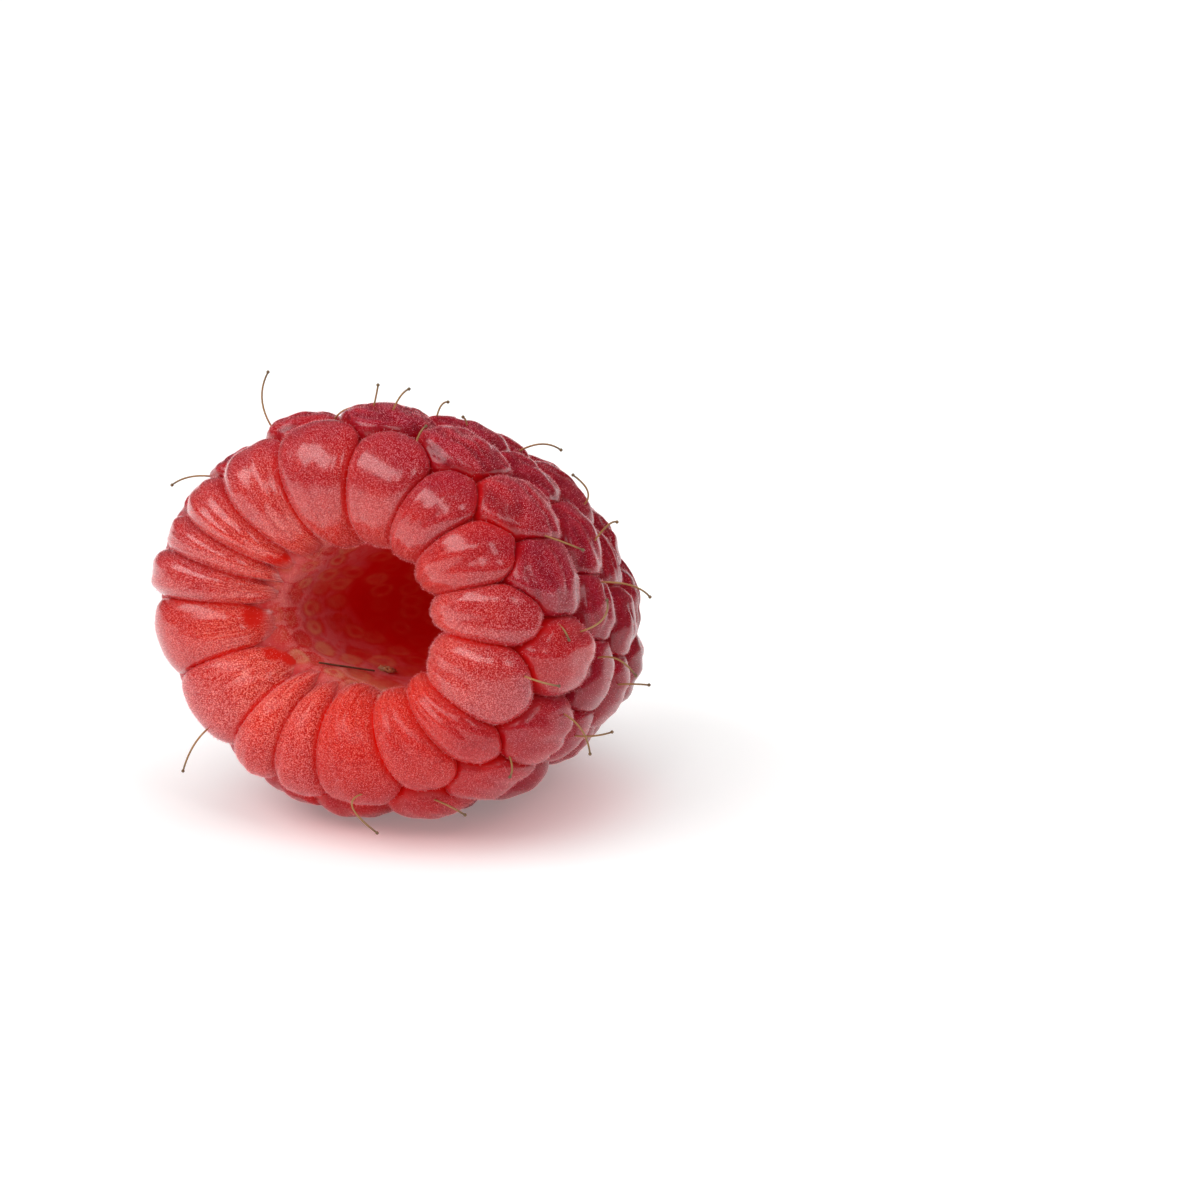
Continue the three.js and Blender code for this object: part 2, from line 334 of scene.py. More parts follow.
def ball(around, rings):
    """Directions over a ball and its faces, with most of the rings on the half that shows."""
    shown = int(rings * 0.8)
    polar = np.concatenate([np.linspace(0, 0.6 * math.pi, shown + 1),
                            np.linspace(0.6 * math.pi, math.pi, rings - shown + 1)[1:]])[1:-1]
    turns = np.arange(around) * math.tau / around
    sides = about_axis(np.sin(polar)[:, None], turns, np.cos(polar)[:, None] + 0 * turns)
    points = np.vstack([[0, 0, 1], sides.reshape(-1, 3), [0, 0, -1]])
    last = len(points) - 1
    faces = [(0, 1 + i, 1 + (i + 1) % around) for i in range(around)]
    for j in range(len(polar) - 1):
        for i in range(around):
            a, b = 1 + j * around + i, 1 + j * around + (i + 1) % around
            faces.append((a, a + around, b + around, b))
    low = last - around
    faces += [(last, low + (i + 1) % around, low + i) for i in range(around)]
    return points, faces


def pressed(drupelet, directions):
    """Its free skin, how far it goes along each direction, and how near the closest neighbour is."""
    free = directions / size_in(directions, drupelet.power)[:, None]
    reach, closest = np.ones(len(free)), np.full(len(free), FAR_ENOUGH)
    for other in drupelets:
        if other is drupelet or np.linalg.norm(other.centre - drupelet.centre) > NEIGHBOUR_REACH:
            continue
        bias = drupelet.win - other.win

        def beyond(t, q):
            return other.depth_of(drupelet.place(q * t[:, None])) - t + bias
        met = np.full(len(free), FAR_ENOUGH)
        meets = beyond(met, free) < 0
        if not meets.any():
            continue
        low, high, q = np.full(meets.sum(), 0.02), met[meets], free[meets]
        for _ in range(HALVINGS):
            middle = (low + high) / 2
            inside = beyond(middle, q) < 0
            high, low = np.where(inside, middle, high), np.where(inside, low, middle)
        met[meets] = high
        closest = np.minimum(closest, met)
        rounding = ROUND_BESIDE if abs(bias) < 0.03 else ROUND_OVER if bias > 0 else ROUND_BEHIND
        blend = np.clip(0.5 + 0.5 * (met - reach) / rounding, 0, 1)
        reach = met * (1 - blend) + reach * blend - rounding * blend * (1 - blend)
    return free, reach, closest


def uneven_over(places, waves, moved):
    """Soft noise at some places, so many waves to their units and moved on by so much."""
    return np.array([noise.noise(Vector(place)) for place in places * waves + moved])


def skin(drupelet, number, around, rings):
    """Points in the berry's frame, faces and the values that the finish reads."""
    directions, faces = ball(around, rings)
    free, reach, closest = pressed(drupelet, directions)
    groove = np.clip((CREASE_FROM - closest) / CREASE_WIDE, 0, 1)
    sheen_edge = np.clip(1 - np.abs(closest - 1) / CREASE_WIDE, 0, 1)
    valley = np.clip((1 + VALLEY_WIDE - closest) / VALLEY_WIDE, 0, 1) ** 1.5
    ridges = uneven_over(free, (3.4, 0.8, 1.2), (number * 7, 0, 0))
    dents = uneven_over(free, (1.8, 2.0, 1.6), (0, number * 5, 0))
    bends = uneven_over(free, (0.8, 2.4, 1.2), (number * 3, 0, 0))
    fold = drupelet.crumpled * np.exp(-(bends / FOLD_WIDE) ** 2) * (1 - groove)
    ridged = RIDGES * drupelet.folded * (1.1 + 0.9 * noise.noise(Vector((number * 2.3, 4.5, 1.5))))
    reach = reach + (ridged * ridges + DENTS * dents) * (1 - groove)
    reach = reach - PIT_DEPTH * drupelet.pit(free) - FOLD_DEPTH * fold
    points, end = drupelet.run_out(drupelet.place(free * reach[:, None]))
    pit = np.clip(drupelet.pit(free), 0, 1)
    down = (1 - groove) * (free[:, 2] > -0.05) * drupelet.down_and_sheen
    down = down * (1 - 0.9 * pit) * (1 - 0.9 * valley) * (1 - 0.9 * end)
    warm = drupelet.warmth_and_bounce_light(free)
    tone = np.full(len(free), noise.noise(Vector((number * 3.7, 0.5, 0.5))))
    gloss = np.full(len(free), drupelet.gloss * np.clip(1.2 + 1.2 * math.sin(drupelet.turn), 0, 1))
    fibrous = np.full(len(free), drupelet.fibrous) * np.clip(0.3 - 1.5 * free[:, 1], 0, 1)
    values = {"groove": groove, "sheen_edge": sheen_edge, "valley": valley, "down": down, "warmth_and_bounce_light": warm,
              "tone": tone, "gloss": gloss, "end": end, "pit": pit, "fold": fold, "fibrous": fibrous,
              "across": free[:, 0] * 12 + number * 3, "along": free[:, 1]}
    return points, faces, values


SURFACE_GAP = 0.01
node_low, node_high = (np.array(corner) * 1000 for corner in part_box("drupelets"))
coarse = ball(24, 20)[0]
everything = lay(np.vstack([d.place(coarse / size_in(coarse, d.power)[:, None]) for d in drupelets]))
shift = (node_low + node_high) / 2 - (everything.min(0) + everything.max(0)) / 2
shift[2] = node_high[2] - everything[:, 2].max()


def in_frame(points):
    """Points of the berry in the frame's metres. The lowest drupelets flatten on the surface."""
    laid = lay(points) + shift
    laid[..., 2] = np.maximum(laid[..., 2], SURFACE_GAP)
    return laid / 1000


def mesh_object(name, points, faces, values=(), edges=()):
    mesh = bpy.data.meshes.new(name)
    mesh.from_pydata(np.array(points).tolist(), edges, faces)
    for key, value in dict(values).items():
        stored = mesh.attributes.new(key, "FLOAT", "POINT")
        stored.data.foreach_set("value", np.asarray(value, np.float32).ravel())
    mesh.shade_smooth()
    piece = bpy.data.objects.new(name, mesh)
    bpy.context.scene.collection.objects.link(piece)
    return piece


def cluster(name, members, first_number, around, rings):
    parts, faces, values, count = [], [], {}, 0
    for number, drupelet in enumerate(members, first_number):
        points, own_faces, own_values = skin(drupelet, number, around, rings)
        parts.append(points)
        faces += [tuple(i + count for i in face) for face in own_faces]
        for key, value in own_values.items():
            values.setdefault(key, []).append(value)
        count += len(points)
    points = in_frame(np.vstack(parts))
    values = {key: np.concatenate(value) for key, value in values.items()}
    values["down"] = values["down"] * (points[:, 2] > BARE_BELOW)
    return mesh_object(name, points, faces, values)


BARE_BELOW = 0.0006                # metres: no down where they lie on the surface
rim_piece = cluster("rim_drupelets", rim, 0, 56, 44)
wall_piece = cluster("wall_drupelets", wall, len(rim), 36, 26)


class Term:
    """A shader socket that takes part in sums and products."""

    def __init__(self, finish, socket):
        self.finish, self.socket = finish, socket

    def _maths(self, operation, *values):
        return self.finish.node("ShaderNodeMath", dict(enumerate(values)), operation=operation)

    def __add__(self, other):
        return self._maths("ADD", self, other)

    def __sub__(self, other):
        return self._maths("SUBTRACT", self, other)

    def __rsub__(self, other):
        return self._maths("SUBTRACT", other, self)

    def __mul__(self, other):
        return self._maths("MULTIPLY", self, other)

    def __pow__(self, other):
        return self._maths("POWER", self, other)

    def __rpow__(self, other):
        return self._maths("POWER", other, self)

    __radd__, __rmul__ = __add__, __mul__

    def clamped(self):
        return self.finish.node("ShaderNodeClamp", {0: self})


class Finish:
    """One material: node() adds any node, and set() feeds the shader's own sockets."""

    def __init__(self, name):
        self.material = bpy.data.materials.new(name)
        self.material.use_nodes = True
        self.tree = self.material.node_tree
        self.shader = self.tree.nodes["Principled BSDF"]

    def feed(self, socket, value):
        if isinstance(value, Term):
            self.tree.links.new(value.socket, socket)
        else:
            socket.default_value = value

    def node(self, kind, inputs=(), output=0, stops=(), **settings):
        made = self.tree.nodes.new(kind)
        for key, value in settings.items():
            setattr(made, key, value)
        for index, (place, colour) in enumerate(stops):
            ramp = made.color_ramp.elements
            stop = ramp[index] if index < 2 else ramp.new(place)
            stop.position, stop.color = place, (*colour, 1)
        for key, value in dict(inputs).items():
            self.feed(made.inputs[key], value)
        return Term(self, made.outputs[output])

    def mix(self, share, a, b):
        """Colours a to b by a share from 0 to 1."""
        pads = {k: (*v, 1) if isinstance(v, tuple) else v for k, v in ((6, a), (7, b))}
        return self.node("ShaderNodeMix", {0: share, **pads}, output=2, data_type="RGBA")

    def speckle(self, scale, detail, rough):
        where = self.node("ShaderNodeTexCoord", output=3)
        return self.node("ShaderNodeTexNoise", {"Vector": where, "Scale": scale, "Detail": detail,
                                                "Roughness": rough})

    def value(self, name):
        return self.node("ShaderNodeAttribute", output=2, attribute_name=name)

    def set(self, **sockets):
        for key, value in sockets.items():
            self.feed(self.shader.inputs[key.replace("_", " ")], value)


CRIMSON, BRIGHT_RED, DARK_CRIMSON = (0.26, 0.0, 0.012), (0.62, 0.014, 0.005), (0.15, 0.0, 0.007)
COOL_BLOOM, WARM_BLOOM, DARK_BLOOM = (0.60, 0.16, 0.21), (0.86, 0.28, 0.22), (0.44, 0.06, 0.08)
GRAIN = 16000                      # the fine speckle of the bloom, waves to a metre

flesh = Finish("flesh")
groove, sheen_edge, end = flesh.value("groove"), flesh.value("sheen_edge"), flesh.value("end")
valley, warmth_and_bounce_light, tone = flesh.value("valley"), flesh.value("warmth_and_bounce_light"), flesh.value("tone")
patches, blush = flesh.speckle(420, 3, 0.6), flesh.speckle(900, 2, 0.6)
grain = flesh.speckle(GRAIN, 1.0, 0.6)
ripe = warmth_and_bounce_light + (patches - 0.5) * 0.7 + tone * 0.22
warm, dark = ripe.clamped(), (0 - ripe).clamped()
down_and_sheen = flesh.value("down")
skin_share = (1 - groove - valley * 0.55).clamped()
bared = 1 - end * 0.85
body = flesh.mix(dark, flesh.mix(warm, CRIMSON, BRIGHT_RED), DARK_CRIMSON)
body = flesh.mix(((patches - 0.5) * 3).clamped() * 0.30, body, (0.46, 0.001, 0.001))
body = flesh.mix((end * (0.15 + blush * 1.1)).clamped(), body, (0.54, 0.10, 0.10))
pale = flesh.mix(dark, flesh.mix(warm, COOL_BLOOM, WARM_BLOOM), DARK_BLOOM)
pale_grain, dark_grain = ((grain - 0.51) * 9).clamped(), ((0.48 - grain) * 9).clamped()
body = flesh.mix(pale_grain * (0.08 + down_and_sheen * 0.50).clamped(), body, pale)
body = flesh.mix(dark_grain * skin_share * bared * 0.60, body, (0.22, 0.0, 0.002))
# Painted sheen: a pale line along each crease edge, standing in for light catching the down at a grazing
# angle.
body = flesh.mix(sheen_edge * (1 - groove) * bared * 0.18, body, pale)
# Painted shade: the fold lines darkened to a deep crimson.
body = flesh.mix(flesh.value("fold") * 0.65, body, (0.16, 0.0, 0.006))
lengthways = {0: flesh.value("across"), 1: flesh.value("along") * 1.6, 2: tone}
lengthways = flesh.node("ShaderNodeCombineXYZ", lengthways)
fibres = flesh.node("ShaderNodeTexNoise", {"Vector": lengthways, "Scale": 1.6, "Detail": 3.0,
                                           "Roughness": 0.65})
near_mouth = flesh.value("fibrous") * (blush * 3 - 0.8).clamped()
body = flesh.mix(((fibres - 0.53) * 9).clamped() * near_mouth * skin_share * 0.65, body, pale)
body = flesh.mix(((0.47 - fibres) * 9).clamped() * near_mouth * 0.55, body, (0.40, 0.003, 0.004))
# Painted light in the creases: partly the bare skin's own deeper red, partly a lighter red standing in
# for light passing through the flesh.
crease_red_and_glow = flesh.mix(warm, (0.27, 0.0, 0.004), (0.66, 0.004, 0.001))
body = flesh.mix((groove + valley * 0.5).clamped() * bared, body, crease_red_and_glow)
open_pit = (flesh.value("pit") * 2.0 + blush * 1.7 - 1.10).clamped()
body = flesh.mix(open_pit * 0.95, body, (0.56, 0.008, 0.003))
raised = flesh.node("ShaderNodeBump", {"Strength": 0.4, "Distance": 0.00001, "Height": grain})
# Painted glow: the creases, valleys and bare pits emit a little red light, standing in for light passing
# through the flesh.
painted_glow = flesh.mix(warm, (0.035, 0.0, 0.001), (0.19, 0.003, 0.0))
painted_light = ((groove + valley * 0.5) * bared + open_pit * 0.3).clamped()
flesh.set(Base_Color=body, Roughness=0.24 + 0.10 * patches, Coat_Weight=flesh.value("gloss") * 0.9,
          Normal=raised, Emission_Color=flesh.mix(painted_light, (0.006, 0.0, 0.0), painted_glow), Emission_Strength=1.0)
flesh.set(Subsurface_Weight=0.6, Subsurface_Radius=(1.0, 0.12, 0.08), Subsurface_Scale=0.0016,
          Specular_IOR_Level=0.18, Coat_Roughness=0.17, Sheen_Weight=0.07, Sheen_Roughness=0.35,
          Sheen_Tint=(1.0, 0.60, 0.64, 1))

for piece in (rim_piece, wall_piece):
    piece.data.materials.append(flesh.material)
    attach(piece, "root")
    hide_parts("drupelets")


# ----------------------------------------------------------------------
# The wall of the hollow, where the berry sat on its plug. It is the inner ends of the drupelets:
# low bumps in crossing rows, each with a pale ring where it was joined to the plug.
HOLLOW_FLOOR, HOLLOW_NARROWING = 6.6, 0.42
ENDS_ROUND, ENDS_SPACING, END_SIZE, END_BLUR = 19, 1.25, 0.72, 0.35
ENDS_ASIDE, ENDS_ALONG, ENDS_SIZES = 0.25, 0.3, (0.8, 1.2)   # by chance, in shares of their spacing
ENDS_LENGTHEN, ENDS_LONG = 3.0, 0.48     # over this depth they draw out, to this share of their width
WEB_FROM, WEB_WIDE, WEB_HEIGHT = 0.45, 0.65, 0.10        # the first two in shares of an end
SCAR_HEIGHT, SCAR_RADIUS, SCAR_WIDTH = 0.06, 0.31, 0.135
SCAR_MARKS, SCAR_FILLS = (0.15, 1), (-0.4, 0.9)          # how clear one is, and how full its ring
RAYS_ROUND, RAY_HEIGHT = 16, 0.05
PALE_DEPTH, PALE_BELOW, PALE_RIGHT = 4.2, 3.0, 1.8      # how far down the pale web reaches, by side
STAIN_TURN, STAIN_SPREAD = 283, 26                      # the ochre stain on the lower lip
LIP_FROM, LIP_LONG = 0.8, 1.6      # the lip starts at this share of its run, and fades over so long
AROUND, LIP_STEPS, CUP_STEPS = 320, 44, 120

turns = np.arange(AROUND) * math.tau / AROUND
grid_turn, grid_step = np.meshgrid(turns, np.arange(LIP_STEPS + CUP_STEPS))
centre, roll = rim_at(grid_turn)
over = LIP_TURN + (-math.pi / 2 - LIP_TURN) * np.minimum(grid_step / LIP_STEPS, 1)
sunk = lining_depth(grid_turn, over)
grid_radius = centre + (roll - sunk) * np.sin(over)
grid_height = LENGTH - roll + (roll - sunk) * np.cos(over)
sink = np.clip((grid_step - LIP_STEPS) / (CUP_STEPS - 1), 0, 1)
sink = np.sin(sink * math.pi / 2)
throat = grid_radius[LIP_STEPS]
cup = throat * (1 - HOLLOW_NARROWING * sink) * np.sqrt(1 - sink ** 8)
grid_radius = np.where(sink > 0, cup, grid_radius)
grid_height = grid_height - (grid_height[LIP_STEPS] - HOLLOW_FLOOR) * sink
run = np.cumsum(np.hypot(np.diff(grid_radius, axis=0), np.diff(grid_height, axis=0)), axis=0)
run = np.concatenate([[np.zeros(AROUND)], run])
past_lip = run - run[LIP_STEPS] * LIP_FROM
stretch = 1 - (1 - ENDS_LONG) * np.clip(past_lip / ENDS_LENGTHEN, 0, 1)
row_at = np.concatenate([[np.zeros(AROUND)], np.cumsum(np.diff(run, axis=0) * stretch[1:], axis=0)])
places = about_axis(grid_radius, grid_turn, grid_height)
ragged = uneven_over(places.reshape(-1, 3), 1.1, 0).reshape(run.shape)
nearest_end, scar = np.full(run.shape, LENGTH), np.zeros(run.shape)
for ring in range(int(row_at[-1].mean() / ENDS_SPACING) + 1):
    for i in range(ENDS_ROUND):
        end_turn = (i + 0.5 * (ring % 2) + draw(-ENDS_ASIDE, ENDS_ASIDE)) * math.tau / ENDS_ROUND
        end_row = (ring + draw(-ENDS_ALONG, ENDS_ALONG)) * ENDS_SPACING
        size, mark, fill = draw(*ENDS_SIZES), draw(*SCAR_MARKS), max(0, draw(*SCAR_FILLS))
        apart = (grid_turn - end_turn + math.pi) % math.tau - math.pi
        distance = np.hypot(apart * np.maximum(grid_radius, 0.6), row_at - end_row)
        distance = distance * (1 + END_BLUR * ragged)
        ring_mark = np.exp(-((distance - SCAR_RADIUS * size) / SCAR_WIDTH) ** 2)
        spot = np.exp(-(distance / SCAR_RADIUS / size) ** 2)
        scar = np.maximum(scar, mark * np.clip(ring_mark + fill * spot, 0, 1))
        nearest_end = np.minimum(nearest_end, distance)
web = smooth(np.clip((nearest_end / END_SIZE - WEB_FROM) / WEB_WIDE, 0, 1))
rays = about_axis(RAYS_ROUND, grid_turn, over * 1.5).reshape(-1, 3)
rays = uneven_over(rays, 1, 0).reshape(run.shape)
lower, right = np.maximum(0, -np.sin(grid_turn)), np.maximum(0, np.cos(grid_turn))
pale_to = PALE_DEPTH + PALE_BELOW * lower - PALE_RIGHT * right
deep = np.clip((run - run[LIP_STEPS]) / pale_to, 0, 1)
proud = WEB_HEIGHT * web + SCAR_HEIGHT * scar
proud = proud * np.clip(grid_step / LIP_STEPS, 0.2, 1) * (1 - 0.6 * deep)
lip = np.clip(1 - past_lip / LIP_LONG, 0, 1)
proud = proud + RAY_HEIGHT * rays * lip
grid_radius = np.maximum(grid_radius - proud * np.where(sink > 0, 1, -np.sin(over)), 0)
grid_height = grid_height + proud * np.where(sink > 0, 0, np.cos(over))
hollow_points = about_axis(grid_radius, grid_turn, grid_height).reshape(-1, 3)
hollow_faces = []
for first in range(0, (LIP_STEPS + CUP_STEPS - 1) * AROUND, AROUND):
    for i in range(AROUND):
        a, b = first + i, first + (i + 1) % AROUND
        hollow_faces.append((a, b, b + AROUND, a + AROUND))
stain = np.exp(-(((np.degrees(grid_turn) - STAIN_TURN + 180) % 360 - 180) / STAIN_SPREAD) ** 2)
stain = stain * np.exp(-((run - run[LIP_STEPS]) / 1.3) ** 2)
between = np.clip((over - LIP_RISES_TO) / math.radians(14), 0, 1)      # the creases between the ends
values = {"scar": scar, "web": web, "deep": deep, "lip": lip, "rays": rays, "stain": stain,
          "between": between}
hollow_piece = mesh_object("hollow_wall", in_frame(hollow_points), hollow_faces, values)

PALE_WEB, LIP_WEB, OCHRE = (0.54, 0.14, 0.15), (0.58, 0.15, 0.14), (0.62, 0.27, 0.13)

lining = Finish("hollow_lining")
scar_mark, web_mark, deep = lining.value("scar"), lining.value("web"), lining.value("deep")
lip, rays, stain = lining.value("lip"), lining.value("rays"), lining.value("stain")
mottle, veil = lining.speckle(1500, 3, 0.65), lining.speckle(600, 3, 0.6)
fuzz = lining.speckle(13000, 1, 0.6)
shallow = 1 - deep
inside = lining.mix(deep, (0.50, 0.010, 0.012), (0.40, 0.0, 0.002))
inside = lining.mix(((veil - 0.50) * 8).clamped() * shallow * 0.5, inside, (0.36, 0.02, 0.05))
webbing = lining.mix(lip, PALE_WEB, LIP_WEB)
webbed = (web_mark * 1.5 + veil * 3.2 + mottle * 2.6 + rays * lip * 1.5 - 3.00).clamped()
inside = lining.mix(webbed * (shallow ** 0.6) * 0.85, inside, webbing)
scarred = (scar_mark * (0.90 - 0.50 * deep) * (mottle * 2.6 - 0.35)).clamped()
inside = lining.mix(scarred, inside, (0.53, 0.21, 0.11))
inside = lining.mix(stain * (0.35 + mottle * 0.8) * 0.8, inside, OCHRE)
patchy = ((mottle - 0.52) * 10 * shallow).clamped() * (1 - scar_mark * 0.8)
inside = lining.mix(patchy * 0.62, inside, (0.48, 0.004, 0.005))
fuzzy = ((fuzz - 0.52) * 9).clamped() * (lip + 0.3 * shallow)
inside = lining.mix(fuzzy * 0.35, inside, (0.80, 0.30, 0.26))
# Between the ends the lining is a saturated red like the drupelets' creases: partly its own colour,
# partly painted light through the flesh.
between = lining.value("between")
inside = lining.mix(between * (0.35 + mottle), inside, (0.48, 0.010, 0.010))
# Painted glow: the deep hollow and the creases between the ends emit a little red light, standing in for
# light through the flesh.
painted_light = lining.mix(deep, (0.045, 0.001, 0.001), (0.11, 0.0, 0.0))
painted_light = lining.mix(between, painted_light, (0.05, 0.001, 0.001))
uneven = lining.node("ShaderNodeBump", {"Strength": 0.5, "Distance": 0.00006,
                                        "Height": mottle + fuzz * 0.3})
lining.set(Base_Color=inside, Roughness=0.45 + 0.2 * mottle, Normal=uneven, Emission_Color=painted_light,
           Emission_Strength=1.0, Specular_IOR_Level=0.25, Subsurface_Weight=0.5,
           Subsurface_Radius=(1.0, 0.1, 0.06), Subsurface_Scale=0.0013)
hollow_piece.data.materials.append(lining.material)
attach(hollow_piece, "root")
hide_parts("drupelets")


# ----------------------------------------------------------------------
# The camera. It stands to the right of the mouth and a little above it, a foot away.
AZIMUTH, ELEVATION = math.radians(28), math.radians(16)
DISTANCE, LENS = 0.300, 175.0
ASIDE, ABOVE = -0.00848, 0.00081        # where the berry's middle sits in the frame

camera = bpy.data.objects.new("camera", bpy.data.cameras.new("camera"))
bpy.context.scene.collection.objects.link(camera)
back = Vector((math.sin(AZIMUTH) * math.cos(ELEVATION), -math.cos(AZIMUTH) * math.cos(ELEVATION),
               math.sin(ELEVATION)))
camera.rotation_mode = "QUATERNION"
camera.rotation_quaternion = (-back).to_track_quat("-Z", "Y")
turned = camera.rotation_quaternion.to_matrix()
middle = (Vector(cad_box[0]) + Vector(cad_box[1])) / 2
camera.location = middle + back * DISTANCE - turned.col[0] * ASIDE - turned.col[1] * ABOVE
camera.data.lens = LENS
camera.data.sensor_width = 36
camera.data.clip_start, camera.data.clip_end = 0.01, 5
bpy.context.scene.camera = camera


# ----------------------------------------------------------------------
# The styles. Each drupelet keeps the dried thread that the pollen came down: brown, stiff,
# 2 to 4 mm long and a tenth of a millimetre thick, curled over, with a small knob at its tip.
STYLE_THICK, STYLE_KNOB, STYLE_POINTS = 0.00005, 0.00009, 12
FRAME = 1200
SEEN_STYLES = [                    # the root, bend and tip of each, as the camera sees them
    ((267, 424), (262, 400), (268, 372)), ((372, 406), (376, 396), (378, 385)),
    ((393, 410), (400, 397), (409, 389)), ((436, 412), (441, 406), (448, 402)),
    ((467, 425), (466, 421), (463, 417)), ((519, 450), (541, 444), (561, 450)),
    ((585, 505), (588, 492), (573, 475)), ((208, 474), (190, 477), (172, 485)),
    ((208, 729), (194, 745), (183, 771)), ((367, 796), (352, 806), (377, 833)),
    ((432, 800), (449, 806), (465, 815)), ((505, 754), (512, 766), (510, 777)),
    ((564, 712), (581, 729), (590, 754)), ((573, 738), (592, 736), (612, 732)),
    ((524, 676), (541, 682), (559, 686)), ((598, 658), (617, 659), (636, 676)),
    ((617, 686), (633, 684), (649, 685)), ((544, 620), (559, 625), (569, 640)),
    ((580, 631), (602, 620), (607, 600)), ((541, 538), (563, 542), (583, 550)),
    ((595, 544), (607, 526), (617, 522)), ((600, 580), (630, 585), (650, 597)),
    ((417, 441), (420, 433), (426, 426)), ((335, 419), (350, 408), (382, 409)),
    ((272, 434), (282, 431), (292, 431))]
HIDDEN_SHARE, HIDDEN_LONG = 0.6, (2.0, 3.6)
SUNK, CLEAR, ASIDE_BY = 0.2, 0.6, 0.5    # roots start under the skin, and styles clear the surface
NEAREST, FARTHEST = 285, 315       # from the camera to the berry's near and far side

tree_points, tree_faces = [], []
for piece in (rim_piece, wall_piece, hollow_piece):
    first = len(tree_points)
    tree_points += [vertex.co * 1000 for vertex in piece.data.vertices]
    tree_faces += [tuple(i + first for i in face.vertices) for face in piece.data.polygons]
surface = BVHTree.FromPolygons(tree_points, tree_faces)
eye = camera.location * 1000


def sight(pixel):
    """The direction from the camera through a point of its 1200 x 1200 frame."""
    scale = FRAME * camera.data.lens / camera.data.sensor_width
    across, up = (pixel[0] - FRAME / 2) / scale, (FRAME / 2 - pixel[1]) / scale
    return (turned @ Vector((across, up, -1))).normalized()


def on_skin(pixel):
    """Where a line of sight meets the berry, or comes nearest to it, and the normal there."""
    ray = sight(pixel)
    place, normal = surface.ray_cast(eye, ray)[:2]
    if place is None:
        reach = min(np.linspace(NEAREST, FARTHEST, 120),
                    key=lambda far: surface.find_nearest(eye + ray * far)[3])
        place, normal = surface.find_nearest(eye + ray * reach)[:2]
    return place, normal


def nearest_on_sight(pixel, point):
    ray = sight(pixel)
    return eye + ray * (point - eye).dot(ray)


paths = []
for root, bend, tip in SEEN_STYLES:
    place, normal = on_skin(root)
    span = (nearest_on_sight(tip, place) - place).length
    paths.append([place - normal * SUNK, nearest_on_sight(bend, place + normal * span * 0.35),
                  nearest_on_sight(tip, place + normal * span * 0.45)])
for drupelet in wall:
    q = np.array([draw(-0.3, 0.3), draw(-0.2, 0.5), 0.9])
    start = Vector(in_frame(drupelet.place(q / size_in(q, drupelet.power))) * 1000)
    place, normal = surface.find_nearest(start)[:2]
    curl = Vector((draw(-1, 1), draw(-1, 1), draw(-1, 1)))
    curl = (curl - normal * curl.dot(normal)).normalized()
    long, chosen = draw(*HIDDEN_LONG), draw(0, 1) < HIDDEN_SHARE
    end = place + (normal * 0.55 + curl * 0.7) * long
    hidden = all(surface.ray_cast(eye, (point - eye).normalized(), (point - eye).length - ASIDE_BY)[0]
                 for point in (place + normal * ASIDE_BY, (place + end) / 2 + normal * ASIDE_BY, end))
    if chosen and hidden and min(place.z, end.z) > CLEAR:
        paths.append([place - normal * SUNK, place + (normal * 0.45 + curl * 0.2) * long, end])

style_points, style_edges = [], []
for root, bend, tip in paths:
    first = len(style_points)
    elbow = bend * 2 - (root + tip) / 2
    for step in range(STYLE_POINTS):
        t = step / (STYLE_POINTS - 1)
        style_points.append((root * (1 - t) ** 2 + elbow * 2 * t * (1 - t) + tip * t * t) / 1000)
    style_edges += [(first + i, first + i + 1) for i in range(STYLE_POINTS - 1)]
styles = mesh_object("styles", style_points, [], edges=style_edges)

dried = Finish("dried_style")
along = dried.value("along")
streaks = dried.speckle(2500, 2, 0.6)
stem = dried.node("ShaderNodeValToRGB", {"Fac": along}, stops=(
    (0.0, (0.30, 0.045, 0.020)), (0.25, (0.36, 0.17, 0.055)),
    (0.8, (0.24, 0.12, 0.045)), (0.97, (0.10, 0.055, 0.035))))
stem = dried.mix(streaks * 0.35, stem, (0.52, 0.33, 0.12))
dried.set(Base_Color=stem, Roughness=0.45 + 0.2 * streaks, Specular_IOR_Level=0.4,
          Subsurface_Weight=0.1, Subsurface_Scale=0.0001)


